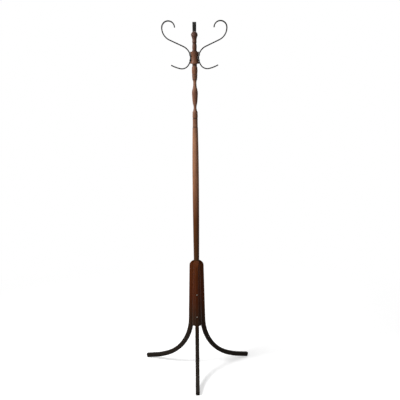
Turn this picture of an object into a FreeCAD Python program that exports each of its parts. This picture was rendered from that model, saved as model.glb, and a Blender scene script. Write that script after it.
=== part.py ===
import FreeCAD, Part
import math
import os
import Sketcher

# A free-standing wooden coat stand on three bent legs.
# Origin: on the floor, on the axis of the pole. +Z is up and -Y is the front.

doc = FreeCAD.newDocument("coat_stand")
sheet = doc.addObject("Spreadsheet::Sheet", "Sizes")
levels = doc.addObject("App::VarSet", "Levels")

leg_angles = {"front": 270, "right": 30, "left": 150}
hook_angles = {"right": 0, "back": 90, "left": 180}
hook_screws = [("high", "arm_root_radius", 1), ("low", "peg_root_radius", -1)]
leg_screw_heights = ["Sizes.low_leg_screw_height", "Sizes.high_leg_screw_height"]

# Driving sizes, in millimetres and degrees
general_sizes = [
    ("fit_gap", 0.1),
    ("seat_gap", 0.2),
    ("cut_margin", 20),
    ("leg_width", 21),
    ("leg_depth", 24.5),
    ("leg_corner", 6),
    ("leg_lean", 1.55),
    ("leg_seat_offset", 24),
    ("leg_seat_height", 333),
    ("leg_top_round", 46),
    ("knee_radius", 260),
    ("knee_turn", 62.45),
    ("instep_radius", 450),
    ("instep_turn", 12),
    ("toe_length", 61.4),
    ("toe_round", 5),
    ("foot_trim", 2),
    ("low_leg_screw_height", 27),
    ("high_leg_screw_height", 150),
    ("leg_screw_web", 17),
    ("leg_screw_recess", 9.4),
    ("leg_screw_slot_width", 1.3),
    ("leg_screw_slot_depth", 1.2),
    ("block_drop", 29),
    ("block_flat_margin", 2),
    ("strap_width", 20),
    ("strap_thickness", 6),
    ("strap_tip_round", 6),
    ("arm_root_radius", 62),
    ("arm_root_turn", 65),
    ("arm_length", 76),
    ("scroll_rise_radius", 66),
    ("scroll_rise_turn", 68),
    ("scroll_radius", 32),
    ("scroll_turn", 178),
    ("peg_root_radius", 67),
    ("peg_root_turn", 34),
    ("peg_bend_radius", 39),
    ("peg_bend_turn", 69),
    ("peg_radius", 177),
    ("peg_turn", 16),
    ("low_hook_screw_height", 12),
    ("high_hook_screw_height", 14),
    ("hook_screw_slot_width", 1),
    ("hook_screw_slot_depth", 0.9),
]

# Turned pieces, from bottom to top. Each step has its length along the axis, the diameter where it
# ends and how far its outline bulges out (or, below zero, hollows in) from a straight run.
turned_sizes = {
    "shaft": [
        ("shaft_tenon_foot", 0, 18, 0),
        ("shaft_tenon", 60, 18, 0),
        ("shaft_shoulder", 0, 28.8, 0),
        ("shaft_rise", 438, 34, 0.7),
        ("shaft_taper", 272, 28, 0.7),
        ("shaft_round", 5, 24.6, 0.6),
    ],
    "spindle": [
        ("spindle_tenon_foot", 0, 12, 0),
        ("spindle_tenon", 40, 12, 0),
        ("spindle_shoulder", 0, 24.6, 0),
        ("sleeve_bevel", 3, 26.6, 0.4),
        ("sleeve", 41, 26.6, -0.5),
        ("sleeve_groove", 2, 24, 0),
        ("ring_bevel", 3, 27.2, 0.5),
        ("ring", 20, 26, 0.3),
        ("ring_round", 13, 21.6, 1.2),
        ("low_neck", 35, 21, -3.2),
        ("vase_swell", 24, 26.8, 0.5),
        ("vase", 28, 30.4, 0.2),
        ("vase_round", 20, 27, 0.6),
        ("vase_neck", 33, 17, -1.4),
        ("flare", 18, 22.6, -1.2),
        ("low_bead", 9, 24.4, 1),
        ("middle_bead", 9, 25.6, 0.9),
        ("high_bead", 9, 26.2, 0.9),
        ("barrel", 30, 28.6, 0.8),
        ("barrel_round", 9, 24.2, 0.7),
        ("top_cove", 14, 25.6, -0.9),
        ("hub_tenon_step", 0, 12, 0),
        ("hub_tenon", 28, 12, 0),
    ],
    "hub": [
        ("hub_foot", 0, 43, 0),
        ("hub_foot_edge", 3, 45.6, 0.7),
        ("hub_waist", 54, 45.6, -5.3),
        ("hub_top_edge", 3, 43, 0.7),
    ],
    "finial": [
        ("spigot_foot", 0, 12, 0),
        ("spigot", 28, 12, 0),
        ("finial_shoulder", 0, 26, 0),
        ("finial_foot", 3, 25.4, 0.4),
        ("finial_cove", 9, 21.6, -0.9),
        ("finial_bead", 23, 21.4, 0.8),
        ("finial_groove", 9, 21.2, -0.6),
        ("finial_ring", 10, 21.8, 0.7),
        ("finial_cup", 15, 26.2, -0.9),
        ("finial_cup_rim", 2, 24.4, 0.4),
        ("ball_low", 12.04, 34.4, 1.3),
        ("ball_high", 16.9, 4, 4.36),
    ],
    "leg_screw": [
        ("leg_screw_tip", 0, 1, 0),
        ("leg_screw_point", 6, 4.5, 0),
        ("leg_screw_shank", 22, 4.5, 0),
        ("leg_screw_collar", 0, 8.6, 0),
        ("leg_screw_edge", 1.2, 8.6, 0),
        ("leg_screw_dome", 1.5, 5, 0),
    ],
    "hook_screw": [
        ("hook_screw_tip", 0, 0.8, 0),
        ("hook_screw_point", 4, 3.2, 0),
        ("hook_screw_shank", 10, 3.2, 0),
        ("hook_screw_collar", 0, 6.4, 0),
        ("hook_screw_edge", 0.9, 6.4, 0),
        ("hook_screw_dome", 1.3, 3.6, 0),
    ],
}

# The base block is turned too, but its diameters follow the seats of the legs.
block_sizes = [
    ("block_length", 357),
    ("block_round", 17),
    ("block_top_diameter", 30),
]


def fill_sheet():
    rows = general_sizes + block_sizes
    for steps in turned_sizes.values():
        for name, length, diameter, bulge in steps:
            rows.append((name + "_length", length))
            rows.append((name + "_diameter", diameter))
            rows.append((name + "_bulge", bulge))
    rows = [row for row in rows if row[1] != 0 or not row[0].endswith(("_length", "_bulge"))]
    for number, (name, value) in enumerate(rows, 1):
        sheet.set("A%d" % number, name)
        sheet.set("B%d" % number, str(value))
        sheet.setAlias("B%d" % number, name)
    doc.recompute()


def size(name):
    return float(getattr(sheet, name))


def level(name, expression):
    levels.addProperty("App::PropertyFloat", name)
    levels.setExpression(name, expression)
    doc.recompute()
    return getattr(levels, name)


def length_sum(steps):
    return " + ".join("Sizes.%s_length" % step[0] for step in steps if step[1])


def new_body(label):
    body = doc.addObject("PartDesign::Body", label)
    body.Label = label
    return body


def new_sketch(body, name, role):
    sketch = body.newObject("Sketcher::SketchObject", body.Name + "_" + name)
    plane = [feature for feature in body.Origin.OriginFeatures if feature.Role == role][0]
    sketch.AttachmentSupport = [(plane, "")]
    sketch.MapMode = "FlatFace"
    return sketch


def bind(sketch, constraint, name, expression):
    index = sketch.addConstraint(constraint)
    sketch.renameConstraint(index, name)
    sketch.setExpression("Constraints." + name, expression)


def arc_between(start, end, bulge):
    # A bulge to the right of the way from start to end turns left, and the other way round.
    chord = end - start
    radius = (chord.Length ** 2 / 4 + bulge ** 2) / (2 * abs(bulge))
    left = FreeCAD.Vector(-chord.y, chord.x, 0).normalize()
    centre = (start + end) / 2 + left * math.copysign(radius - abs(bulge), bulge)
    if bulge < 0:
        start, end = end, start
    first = math.atan2(start.y - centre.y, start.x - centre.x)
    last = math.atan2(end.y - centre.y, end.x - centre.x)
    if last < first:
        last += 2 * math.pi
    return Part.ArcOfCircle(Part.Circle(centre, FreeCAD.Vector(0, 0, 1), radius), first, last)


def draw_turning(sketch, steps):
    # Half outline of a turned piece: up the outside from the axis and back down the axis
    height = 0
    outside = []
    for name, length, diameter, bulge in steps:
        if length:
            height += size(name + "_length")
        outside.append(FreeCAD.Vector(size(name + "_diameter") / 2, height, 0))
    foot = FreeCAD.Vector(0, 0, 0)
    top = FreeCAD.Vector(0, height, 0)
    line = sketch.addGeometry(Part.LineSegment(foot, outside[0]))
    sketch.addConstraint(Sketcher.Constraint("Coincident", line, 1, -1, 1))
    sketch.addConstraint(Sketcher.Constraint("Horizontal", line))
    first = steps[0][0] + "_diameter"
    bind(sketch, Sketcher.Constraint("DistanceX", -1, 1, line, 2, outside[0].x), first, "Sizes.%s / 2" % first)
    previous, joint = line, 2
    for index in range(1, len(steps)):
        name, length, diameter, bulge = steps[index]
        start, end = outside[index - 1], outside[index]
        near, far = 1, 2
        if bulge:
            edge = sketch.addGeometry(arc_between(start, end, size(name + "_bulge")))
            if size(name + "_bulge") < 0:
                near, far = 2, 1
            radius = "((Sizes.{0}_length^2 + (Sizes.{0}_diameter - Sizes.{1}_diameter)^2 / 4) / 4"
            radius += " + Sizes.{0}_bulge^2) / (2 * abs(Sizes.{0}_bulge))"
            radius = radius.format(name, steps[index - 1][0])
            value = sketch.Geometry[edge].Radius
            bind(sketch, Sketcher.Constraint("Radius", edge, value), name + "_radius", radius)
        else:
            edge = sketch.addGeometry(Part.LineSegment(start, end))
        sketch.addConstraint(Sketcher.Constraint("Coincident", previous, joint, edge, near))
        across = Sketcher.Constraint("DistanceX", -1, 1, edge, far, end.x)
        bind(sketch, across, name + "_across", "Sizes.%s_diameter / 2" % name)
        if length:
            along = Sketcher.Constraint("DistanceY", edge, near, edge, far, end.y - start.y)
            bind(sketch, along, name + "_along", "Sizes.%s_length" % name)
        else:
            sketch.addConstraint(Sketcher.Constraint("Horizontal", edge))
        previous, joint = edge, far
    close_on_axis(sketch, previous, joint, outside[-1], top)


def close_on_axis(sketch, previous, joint, rim, top):
    lid = sketch.addGeometry(Part.LineSegment(rim, top))
    axis = sketch.addGeometry(Part.LineSegment(top, FreeCAD.Vector(0, 0, 0)))
    sketch.addConstraint(Sketcher.Constraint("Coincident", previous, joint, lid, 1))
    sketch.addConstraint(Sketcher.Constraint("Horizontal", lid))
    sketch.addConstraint(Sketcher.Constraint("PointOnObject", lid, 2, -2))
    sketch.addConstraint(Sketcher.Constraint("Coincident", lid, 2, axis, 1))
    sketch.addConstraint(Sketcher.Constraint("Coincident", axis, 2, -1, 1))


def revolve(body, sketch):
    turning = body.newObject("PartDesign::Revolution", body.Name + "_turning")
    turning.Profile = sketch
    turning.ReferenceAxis = (sketch, ["V_Axis"])
    turning.Angle = 360
    sketch.Visibility = False
    return turning


def turned_piece(label, steps):
    body = new_body(label)
    sketch = new_sketch(body, "outline", "XZ_Plane")
    draw_turning(sketch, steps)
    revolve(body, sketch)
    return body


def cut_round(body, name, role, places, diameter, depth, outward):
    # Round holes square to an origin plane. A place is the two offsets along the plane's axes.
    sketch = new_sketch(body, name, role)
    for number, place in enumerate(places):
        circle = Part.Circle(FreeCAD.Vector(0, 0, 0), FreeCAD.Vector(0, 0, 1), 1)
        edge = sketch.addGeometry(circle)
        if place is None:
            sketch.addConstraint(Sketcher.Constraint("Coincident", edge, 3, -1, 1))
        else:
            sketch.addConstraint(Sketcher.Constraint("PointOnObject", edge, 3, -2))
            height = Sketcher.Constraint("DistanceY", -1, 1, edge, 3, 1)
            bind(sketch, height, "height_%d" % number, place)
        bind(sketch, Sketcher.Constraint("Diameter", edge, 2), "across_%d" % number, diameter)
    hole = body.newObject("PartDesign::Pocket", body.Name + "_" + name + "_hole")
    hole.Profile = sketch
    hole.Reversed = outward
    if depth is None:
        hole.Type = "ThroughAll"
    else:
        hole.setExpression("Length", depth)
    sketch.Visibility = False
    return sketch, hole


def walk(sketch, start, heading, runs):
    # A path of straight runs and arcs, each tangent to the one before. The heading is in degrees.
    # A run is (name, length) or (name, radius, turn), with a turn to the left above zero.
    ends = []
    place = FreeCAD.Vector(start)
    angle = math.radians(heading)
    for run in runs:
        name = run[0]
        along = FreeCAD.Vector(math.cos(angle), math.sin(angle), 0)
        near, far = 1, 2
        if len(run) == 2:
            after = place + along * size(run[1])
            edge = sketch.addGeometry(Part.LineSegment(place, after))
            bind(sketch, Sketcher.Constraint("Distance", edge, size(run[1])), name + "_run", "Sizes." + run[1])
        else:
            side, radius, turn = run[1], size(run[2]), math.radians(size(run[3]))
            left = FreeCAD.Vector(-along.y, along.x, 0) * side
            centre = place + left * radius
            after = centre - (left * math.cos(turn) - along * math.sin(turn)) * radius
            angle += side * turn
            first = math.atan2(place.y - centre.y, place.x - centre.x)
            if side < 0:
                near, far = 2, 1
                first -= turn
            circle = Part.Circle(centre, FreeCAD.Vector(0, 0, 1), radius)
            edge = sketch.addGeometry(Part.ArcOfCircle(circle, first, first + turn))
            bind(sketch, Sketcher.Constraint("Radius", edge, radius), name + "_radius", "Sizes." + run[2])
            bind(sketch, Sketcher.Constraint("Angle", edge, turn), name + "_turn", "Sizes." + run[3])
        if ends:
            sketch.addConstraint(Sketcher.Constraint("Tangent", ends[-1][0], ends[-1][2], edge, near))
        ends.append((edge, near, far))
        place = after
    return ends


def sweep(body, name, profile, path):
    pipe = body.newObject("PartDesign::AdditivePipe", body.Name + "_" + name)
    pipe.Profile = profile
    pipe.Spine = path
    pipe.Mode = "Binormal"
    pipe.Binormal = FreeCAD.Vector(0, 1, 0)
    profile.Visibility = False
    path.Visibility = False
    return pipe


def draw_bar(sketch, offset, depth, width, corner):
    # Section of a bar, square to the pole: depth runs outward along X and width across it.
    # A corner of None leaves the edges sharp.
    low = size_of(offset) - size_of(depth) / 2
    high = low + size_of(depth)
    half = size_of(width) / 2
    cut = size_of(corner) if corner else 0
    corners = [(low, -half), (high, -half), (high, half), (low, half)]
    inward = [(1, 1), (-1, 1), (-1, -1), (1, -1)]
    sides = []
    for index in range(4):
        start = FreeCAD.Vector(corners[index][0], corners[index][1], 0)
        end = FreeCAD.Vector(corners[(index + 1) % 4][0], corners[(index + 1) % 4][1], 0)
        along = (end - start).normalize() * cut
        sides.append(sketch.addGeometry(Part.LineSegment(start + along, end - along)))
        kind = "Horizontal" if index % 2 == 0 else "Vertical"
        sketch.addConstraint(Sketcher.Constraint(kind, sides[index]))
    rounds = []
    for index in range(4):
        before, after = sides[index - 1], sides[index]
        if not corner:
            sketch.addConstraint(Sketcher.Constraint("Coincident", before, 2, after, 1))
            continue
        centre = FreeCAD.Vector(corners[index][0] + inward[index][0] * cut,
                                corners[index][1] + inward[index][1] * cut, 0)
        first = math.radians(180 + 90 * index)
        circle = Part.Circle(centre, FreeCAD.Vector(0, 0, 1), cut)
        edge = sketch.addGeometry(Part.ArcOfCircle(circle, first, first + math.pi / 2))
        sketch.addConstraint(Sketcher.Constraint("Tangent", before, 2, edge, 1))
        sketch.addConstraint(Sketcher.Constraint("Tangent", edge, 2, after, 1))
        rounds.append(edge)
    for edge in rounds[1:]:
        sketch.addConstraint(Sketcher.Constraint("Equal", rounds[0], edge))
    if corner:
        bind(sketch, Sketcher.Constraint("Radius", rounds[0], cut), "corner", corner)
    bind(sketch, Sketcher.Constraint("DistanceY", -1, 1, sides[2], 1, half), "half", width + " / 2")
    bind(sketch, Sketcher.Constraint("DistanceX", -1, 1, sides[3], 1, low), "inside", offset + " - " + depth + " / 2")
    bind(sketch, Sketcher.Constraint("DistanceX", sides[3], 1, sides[1], 1, high - low), "depth", depth)
    bind(sketch, Sketcher.Constraint("DistanceY", sides[0], 2, sides[2], 1, 2 * half), "width", width)


def size_of(expression):
    owner, name = expression.split(".")
    return float(getattr(sheet if owner == "Sizes" else levels, name))


def set_levels():
    # Heights above the floor and distances from the axis that follow from the driving sizes
    level("knee_slope", "Sizes.leg_lean + Sizes.knee_turn")
    level("toe_slope", ".knee_slope + Sizes.instep_turn")
    level("toe_height", "Sizes.leg_depth / 2 * sin(.toe_slope) - Sizes.foot_trim")
    level("toe_drop", "Sizes.toe_length * cos(.toe_slope)")
    level("instep_drop", "Sizes.instep_radius * (sin(.toe_slope) - sin(.knee_slope))")
    level("knee_drop", "Sizes.knee_radius * (sin(.knee_slope) - sin(Sizes.leg_lean))")
    level("bend_height", ".toe_height + .toe_drop + .instep_drop + .knee_drop")
    level("leg_offset", "Sizes.leg_seat_offset + Sizes.leg_depth / 2")
    level("leg_run", "(Sizes.leg_seat_height + Sizes.cut_margin) / cos(Sizes.leg_lean)")
    level("leg_top_offset", ".leg_offset - .leg_run * sin(Sizes.leg_lean)")
    level("leg_top_height", ".leg_run * cos(Sizes.leg_lean)")
    level("round_rise", "sqrt(Sizes.leg_top_round^2 - (Sizes.leg_top_round - Sizes.leg_depth)^2)")
    level("round_height", "Sizes.leg_seat_height - .round_rise")
    level("round_outside", ".leg_offset + Sizes.leg_depth / 2 - .round_height * tan(Sizes.leg_lean)")
    level("foot_reach", ".leg_offset + Sizes.knee_radius + Sizes.instep_radius + Sizes.toe_length")
    level("block_foot_seat", "Sizes.leg_seat_offset + Sizes.block_drop * tan(Sizes.leg_lean)")
    level("block_top_seat", ".block_foot_seat - Sizes.block_length * tan(Sizes.leg_lean)")
    level("block_flat_half", "Sizes.leg_width / 2 + Sizes.block_flat_margin")
    level("block_foot_radius", "sqrt(.block_foot_seat^2 + .block_flat_half^2)")
    level("block_side_height", "Sizes.block_length - Sizes.block_round")
    level("block_side_radius", "sqrt((.block_top_seat)^2 + .block_flat_half^2)")
    level("block_height", ".bend_height - Sizes.block_drop")
    level("shaft_height", ".block_height + Sizes.block_length")
    shaft_rise = length_sum(turned_sizes["shaft"][2:])
    level("spindle_height", ".shaft_height + " + shaft_rise)
    spindle_rise = length_sum(turned_sizes["spindle"][2:-1])
    level("hub_height", ".spindle_height + " + spindle_rise)
    level("finial_height", ".hub_height + " + length_sum(turned_sizes["hub"]))
    level("hook_height", "(.hub_height + .finial_height) / 2")
    level("strap_offset", "Sizes.hub_waist_diameter / 2 + Sizes.hub_waist_bulge + Sizes.seat_gap"
          " + Sizes.strap_thickness / 2")
    for name, radius, sign in hook_screws:
        level(name + "_hook_screw_tilt",
              "asin(Sizes.%s_hook_screw_height / Sizes.%s) / 1 deg" % (name, radius))


def base_block():
    body = new_body("base_block")
    sketch = new_sketch(body, "outline", "XZ_Plane")
    foot, side = levels.block_foot_radius, levels.block_side_radius
    rim, height = size("block_top_diameter") / 2, size("block_length")
    points = [(0, 0), (foot, 0), (side, levels.block_side_height), (rim, height)]
    points = [FreeCAD.Vector(across, along, 0) for across, along in points]
    edges = [sketch.addGeometry(Part.LineSegment(points[i], points[i + 1])) for i in range(3)]
    sketch.addConstraint(Sketcher.Constraint("Coincident", edges[0], 1, -1, 1))
    sketch.addConstraint(Sketcher.Constraint("Horizontal", edges[0]))
    sketch.addConstraint(Sketcher.Constraint("Coincident", edges[0], 2, edges[1], 1))
    sketch.addConstraint(Sketcher.Constraint("Coincident", edges[1], 2, edges[2], 1))
    across = ["Levels.block_foot_radius", "Levels.block_side_radius", "Sizes.block_top_diameter / 2"]
    for index, expression in enumerate(across):
        constraint = Sketcher.Constraint("DistanceX", -1, 1, edges[index], 2, points[index + 1].x)
        bind(sketch, constraint, "across_%d" % index, expression)
    along = ["Levels.block_side_height", "Sizes.block_length"]
    for index, expression in enumerate(along, 1):
        constraint = Sketcher.Constraint("DistanceY", -1, 1, edges[index], 2, points[index + 1].y)
        bind(sketch, constraint, "along_%d" % index, expression)
    close_on_axis(sketch, edges[2], 2, points[3], FreeCAD.Vector(0, height, 0))
    revolve(body, sketch)
    sketch, socket = cut_round(body, "socket", "XY_Plane", [None],
                               "Sizes.shaft_tenon_diameter + 2 * Sizes.fit_gap",
                               "Sizes.shaft_tenon_length + Sizes.fit_gap", False)
    sketch.setExpression("AttachmentOffset.Base.z", "Sizes.block_length")
    flats = cut_flats(body)
    cuts = [flats]
    for number, height in enumerate(leg_screw_heights):
        sketch, pilot = cut_round(body, "pilot_%d" % number, "YZ_Plane", [height + " + Sizes.block_drop"],
                                  "Sizes.leg_screw_shank_diameter + 2 * Sizes.fit_gap", None, True)
        sketch.setExpression("AttachmentOffset.Base.z", leg_screw_tip(height) + " - Sizes.fit_gap")
        cuts.append(pilot)
    repeat_round(body, cuts, 360, len(leg_angles))
    body.Placement.Rotation = FreeCAD.Rotation(leg_angles["right"], 0, 0)
    body.setExpression("Placement.Base.z", "Levels.block_height")
    return body


def cut_flats(body):
    # A leaning flat for one leg, cut along the block
    sketch = new_sketch(body, "flat", "XZ_Plane")
    foot, top = levels.block_foot_seat, levels.block_top_seat
    outside, height = levels.block_foot_radius + size("cut_margin"), size("block_length")
    points = [(foot, 0), (outside, 0), (outside, height), (top, height)]
    points = [FreeCAD.Vector(across, along, 0) for across, along in points]
    edges = [sketch.addGeometry(Part.LineSegment(points[i - 1], points[i])) for i in range(4)]
    for index in range(4):
        sketch.addConstraint(Sketcher.Constraint("Coincident", edges[index - 1], 2, edges[index], 1))
    sketch.addConstraint(Sketcher.Constraint("PointOnObject", edges[0], 2, -1))
    sketch.addConstraint(Sketcher.Constraint("Horizontal", edges[1]))
    sketch.addConstraint(Sketcher.Constraint("Vertical", edges[2]))
    sketch.addConstraint(Sketcher.Constraint("Horizontal", edges[3]))
    reach = "Levels.block_foot_radius + Sizes.cut_margin"
    bind(sketch, Sketcher.Constraint("DistanceX", -1, 1, edges[0], 2, foot), "foot", "Levels.block_foot_seat")
    bind(sketch, Sketcher.Constraint("DistanceX", -1, 1, edges[1], 2, outside), "reach", reach)
    bind(sketch, Sketcher.Constraint("DistanceX", -1, 1, edges[3], 2, top), "top", "Levels.block_top_seat")
    bind(sketch, Sketcher.Constraint("DistanceY", -1, 1, edges[3], 2, height), "height", "Sizes.block_length")
    flat = body.newObject("PartDesign::Pocket", body.Name + "_flat_cut")
    flat.Profile = sketch
    flat.SideType = "Symmetric"
    flat.setExpression("Length", "2 * Levels.block_foot_radius")
    sketch.Visibility = False
    return flat


def repeat_round(body, features, spread, count):
    pattern = body.newObject("PartDesign::PolarPattern", body.Name + "_round")
    pattern.Originals = features
    axis = [feature for feature in body.Origin.OriginFeatures if feature.Role == "Z_Axis"][0]
    pattern.Axis = (axis, [""])
    pattern.Angle = spread
    pattern.Occurrences = count
    body.Tip = pattern


def leg(side, angle):
    body = new_body("leg_" + side)
    section = new_sketch(body, "section", "XY_Plane")
    draw_bar(section, "Levels.leg_top_offset", "Sizes.leg_depth", "Sizes.leg_width", "Sizes.leg_corner")
    section.setExpression("AttachmentOffset.Base.z", "Levels.leg_top_height")
    path = new_sketch(body, "path", "XZ_Plane")
    top = FreeCAD.Vector(levels.leg_top_offset, levels.leg_top_height, 0)
    bend = FreeCAD.Vector(levels.leg_offset, 0, 0)
    upright = path.addGeometry(Part.LineSegment(top, bend))
    top_across = Sketcher.Constraint("DistanceX", -1, 1, upright, 1, top.x)
    bind(path, top_across, "top_across", "Levels.leg_top_offset")
    top_along = Sketcher.Constraint("DistanceY", -1, 1, upright, 1, top.y)
    bind(path, top_along, "top_along", "Levels.leg_top_height")
    path.addConstraint(Sketcher.Constraint("PointOnObject", upright, 2, -1))
    bend_across = Sketcher.Constraint("DistanceX", -1, 1, upright, 2, bend.x)
    bind(path, bend_across, "bend_across", "Levels.leg_offset")
    runs = [("knee", 1, "knee_radius", "knee_turn"),
            ("instep", 1, "instep_radius", "instep_turn"),
            ("toe", "toe_length")]
    ends = walk(path, bend, size("leg_lean") - 90, runs)
    path.addConstraint(Sketcher.Constraint("Tangent", upright, 2, ends[0][0], ends[0][1]))
    bar = sweep(body, "bar", section, path)
    doc.recompute()
    round_toe(body, bar)
    round_leg_top(body)
    floor, trim = cut_round(body, "floor", "XY_Plane", [None], "2 * Levels.foot_reach", None, False)
    floor.setExpression("AttachmentOffset.Base.z", "-Levels.bend_height")
    cut_round(body, "shank", "YZ_Plane", leg_screw_heights,
              "Sizes.leg_screw_shank_diameter + 2 * Sizes.fit_gap", None, True)
    for number, height in enumerate(leg_screw_heights):
        sketch, recess = cut_round(body, "recess_%d" % number, "YZ_Plane", [height],
                                   "Sizes.leg_screw_recess", None, True)
        sketch.setExpression("AttachmentOffset.Base.z", leg_screw_seat(height))
    body.Placement.Rotation = FreeCAD.Rotation(angle, 0, 0)
    body.setExpression("Placement.Base.z", "Levels.bend_height")
    return body


def leg_screw_seat(height):
    # Distance from the pole's axis to the underside of a leg screw's head
    return "Sizes.leg_seat_offset - %s * tan(Sizes.leg_lean) + Sizes.leg_screw_web" % height


def leg_screw_tip(height):
    return leg_screw_seat(height) + " - Sizes.leg_screw_point_length - Sizes.leg_screw_shank_length"


def round_toe(body, bar):
    farthest = max(bar.Shape.Faces, key=lambda face: math.hypot(face.CenterOfMass.x, face.CenterOfMass.y))
    rims = []
    for index, edge in enumerate(bar.Shape.Edges, 1):
        if any(edge.isSame(other) for other in farthest.Edges):
            rims.append("Edge%d" % index)
    fillet = body.newObject("PartDesign::Fillet", body.Name + "_toe")
    fillet.Base = (bar, rims)
    fillet.setExpression("Radius", "Sizes.toe_round")


def round_leg_top(body):
    # The top of a leg is rounded over from its outer face to its seat.
    sketch = new_sketch(body, "crown", "XZ_Plane")
    outside, low = levels.round_outside, levels.round_height
    inside, high = outside - size("leg_depth"), size("leg_seat_height")
    radius = size("leg_top_round")
    centre = FreeCAD.Vector(outside - radius, low, 0)
    top_angle = math.asin((high - low) / radius)
    circle = Part.Circle(centre, FreeCAD.Vector(0, 0, 1), radius)
    crown = sketch.addGeometry(Part.ArcOfCircle(circle, 0, top_angle))
    limit = levels.leg_top_height + size("cut_margin")
    far_inside = inside - size("cut_margin") / 2
    far_outside = outside + size("cut_margin")
    points = [(inside, high), (far_inside, high), (far_inside, limit), (far_outside, limit),
              (far_outside, low), (outside, low)]
    points = [FreeCAD.Vector(across, along, 0) for across, along in points]
    edges = [sketch.addGeometry(Part.LineSegment(points[i], points[i + 1])) for i in range(5)]
    sketch.addConstraint(Sketcher.Constraint("Coincident", crown, 2, edges[0], 1))
    for index in range(4):
        sketch.addConstraint(Sketcher.Constraint("Coincident", edges[index], 2, edges[index + 1], 1))
    sketch.addConstraint(Sketcher.Constraint("Coincident", edges[4], 2, crown, 1))
    for index in (0, 2, 4):
        sketch.addConstraint(Sketcher.Constraint("Horizontal", edges[index]))
    for index in (1, 3):
        sketch.addConstraint(Sketcher.Constraint("Vertical", edges[index]))
    bind(sketch, Sketcher.Constraint("Radius", crown, radius), "crown_radius", "Sizes.leg_top_round")
    places = [
        ("DistanceX", crown, 1, outside, "outside", "Levels.round_outside"),
        ("DistanceY", crown, 1, low, "low", "Levels.round_height"),
        ("DistanceX", edges[0], 1, inside, "inside", "Levels.round_outside - Sizes.leg_depth"),
        ("DistanceY", edges[0], 1, high, "high", "Sizes.leg_seat_height"),
        ("DistanceY", edges[1], 2, limit, "limit", "Levels.leg_top_height + Sizes.cut_margin"),
        ("DistanceX", edges[3], 1, far_outside, "far_outside", "Levels.round_outside + Sizes.cut_margin"),
        ("DistanceX", edges[1], 1, far_inside, "far_inside",
         "Levels.round_outside - Sizes.leg_depth - Sizes.cut_margin / 2"),
    ]
    for kind, edge, end, value, name, expression in places:
        bind(sketch, Sketcher.Constraint(kind, -1, 1, edge, end, value), name, expression)
    crown_cut = body.newObject("PartDesign::Pocket", body.Name + "_crown_cut")
    crown_cut.Profile = sketch
    crown_cut.SideType = "Symmetric"
    crown_cut.setExpression("Length", "2 * Sizes.leg_width")
    sketch.Visibility = False


def pole():
    steps = turned_sizes["shaft"]
    shaft = turned_piece("lower_shaft", steps)
    shaft.setExpression("Placement.Base.z", "Levels.shaft_height - Sizes.shaft_tenon_length")
    sketch, socket = cut_round(shaft, "socket", "XY_Plane", [None],
                               "Sizes.spindle_tenon_diameter + 2 * Sizes.fit_gap",
                               "Sizes.spindle_tenon_length + Sizes.fit_gap", False)
    sketch.setExpression("AttachmentOffset.Base.z", length_sum(steps))
    spindle = turned_piece("turned_spindle", turned_sizes["spindle"])
    spindle.setExpression("Placement.Base.z", "Levels.spindle_height - Sizes.spindle_tenon_length")
    hub = turned_piece("hook_hub", turned_sizes["hub"])
    cut_round(hub, "bore", "XY_Plane", [None], "Sizes.hub_tenon_diameter + 2 * Sizes.fit_gap", None, True)
    pilots = []
    for name, radius, sign in hook_screws:
        sketch, pilot = cut_round(hub, name + "_pilot", "YZ_Plane", [None],
                                  "Sizes.hook_screw_shank_diameter + 2 * Sizes.fit_gap",
                                  "Sizes.hook_screw_point_length + Sizes.hook_screw_shank_length"
                                  " - Sizes.strap_thickness + Sizes.fit_gap", False)
        lay_on_strap(sketch, name, radius, sign, "Sizes.strap_thickness / 2",
                     "Levels.hook_height - Levels.hub_height + ")
        pilots.append(pilot)
    spread = max(hook_angles.values()) - min(hook_angles.values())
    repeat_round(hub, pilots, spread, len(hook_angles))
    hub.Placement.Rotation = FreeCAD.Rotation(min(hook_angles.values()), 0, 0)
    hub.setExpression("Placement.Base.z", "Levels.hub_height")
    finial = turned_piece("finial", turned_sizes["finial"])
    finial.setExpression("Placement.Base.z", "Levels.finial_height - Sizes.spigot_length")
    return [shaft, spindle, hub, finial]


def lay_on_strap(sketch, name, radius, sign, depth, base):
    # Lays a sketch square to a screw through the strap, a depth behind the strap's middle line
    reach = "(Sizes.%s + %s)" % (radius, depth)
    tilt = "Levels.%s_hook_screw_tilt" % name
    sketch.AttachmentOffset = FreeCAD.Placement(FreeCAD.Vector(), FreeCAD.Rotation(FreeCAD.Vector(sign, 0, 0), 1))
    sketch.setExpression("AttachmentOffset.Rotation.Angle", tilt)
    sketch.setExpression("AttachmentOffset.Base.y", "%s%d * %s * sin(%s)" % (base, sign, reach, tilt))
    sketch.setExpression("AttachmentOffset.Base.z",
                         "Levels.strap_offset + Sizes.%s - %s * cos(%s)" % (radius, reach, tilt))


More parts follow.
